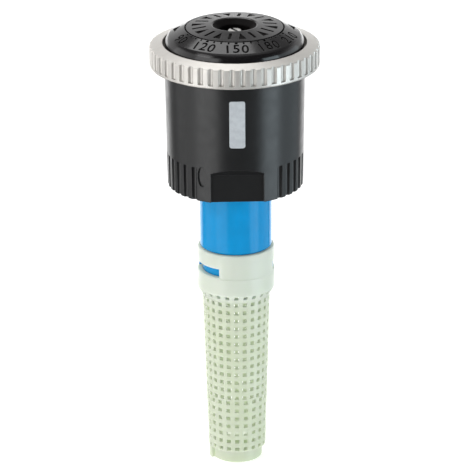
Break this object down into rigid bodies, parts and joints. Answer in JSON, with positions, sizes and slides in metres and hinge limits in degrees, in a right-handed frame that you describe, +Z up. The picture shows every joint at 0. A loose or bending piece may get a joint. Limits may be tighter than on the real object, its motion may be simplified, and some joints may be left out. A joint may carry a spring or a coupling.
{
  "type": "pop up sprinkler rotary nozzle",
  "caption": "Rotating multi-stream nozzle for a pop-up sprinkler, with an arc adjustment ring, radius screw, inlet tube and strainer basket; it screws onto the riser.",
  "frame": {"origin": "centre of the thread socket's mouth, on the foot plane of the housing", "axes": "+Z up along the shaft, -Y is the front with the reference mark"},
  "size_m": [0.03, 0.03, 0.0816],
  "materials": {
    "housing_plastic": "satin moulded black",
    "mark_silver": "satin silver",
    "tube_blue": "glossy moulded blue",
    "ring_nickel": "satin nickel over die casting",
    "deflector_plastic": "satin moulded charcoal",
    "insert_plastic": "moulded black",
    "bearing_plastic": "natural acetal",
    "seal_rubber": "soft black",
    "stainless": "drawn stainless",
    "basket_plastic": "milky pale green, slightly translucent"
  },
  "bodies": {
    "housing": {"housing": "housing_plastic", "reference_mark": "mark_silver", "inlet_tube": "tube_blue", "inlet_gasket": "seal_rubber", "stem": "insert_plastic", "shaft_bushing": "bearing_plastic", "stem_seal": "seal_rubber", "spring_seat_washer": "stainless", "throttle_seat": "bearing_plastic"},
    "arc_ring": {"arc_ring": "ring_nickel", "nozzle_insert": "insert_plastic", "nozzle_oring": "seal_rubber"},
    "lift": {"thrust_washer": "bearing_plastic", "spring_retainer": "insert_plastic", "return_spring": "stainless"},
    "shaft": {"shaft": "stainless", "stator": "bearing_plastic", "retaining_clip": "stainless"},
    "deflector": {"deflector": "deflector_plastic", "deflector_cap": "deflector_plastic", "chamber_lid": "insert_plastic", "lower_bearing": "bearing_plastic", "upper_bearing": "bearing_plastic", "lower_seal": "seal_rubber", "upper_seal": "seal_rubber"},
    "throttle": {"throttle": "bearing_plastic"},
    "filter": {"filter_basket": "basket_plastic"}
  },
  "joints": [
    {"name": "popup_lift", "type": "slide", "parent": "housing", "child": "lift", "axis": [0, 0, 1], "range_m": [0, 0.004], "stiffness_N_per_m": 1100, "springref_m": -0.003, "deforming": ["return_spring"]},
    {"name": "radius_screw_turn", "type": "hinge", "parent": "lift", "child": "shaft", "pos_m": [0, 0, 0], "axis": [0, 0, 1], "range_deg": [-900, 0]},
    {"name": "throttle_travel", "type": "slide", "parent": "lift", "child": "throttle", "axis": [0, 0, 1], "range_m": [0, 0.00125]},
    {"name": "deflector_spin", "type": "hinge", "parent": "shaft", "child": "deflector", "pos_m": [0, 0, 0.02], "axis": [0, 0, 1], "continuous": true},
    {"name": "arc_ring_turn", "type": "hinge", "parent": "housing", "child": "arc_ring", "pos_m": [0, 0, 0.0235], "axis": [0, 0, 1], "range_deg": [0, 120]},
    {"name": "filter_swivel", "type": "hinge", "parent": "housing", "child": "filter", "pos_m": [0, 0, -0.016], "axis": [0, 0, 1], "range_deg": [-68, 0]}
  ],
  "couplings": [
    {"joint": "radius_screw_turn", "follows": "throttle_travel", "rad_per_m": -12566}
  ]
}
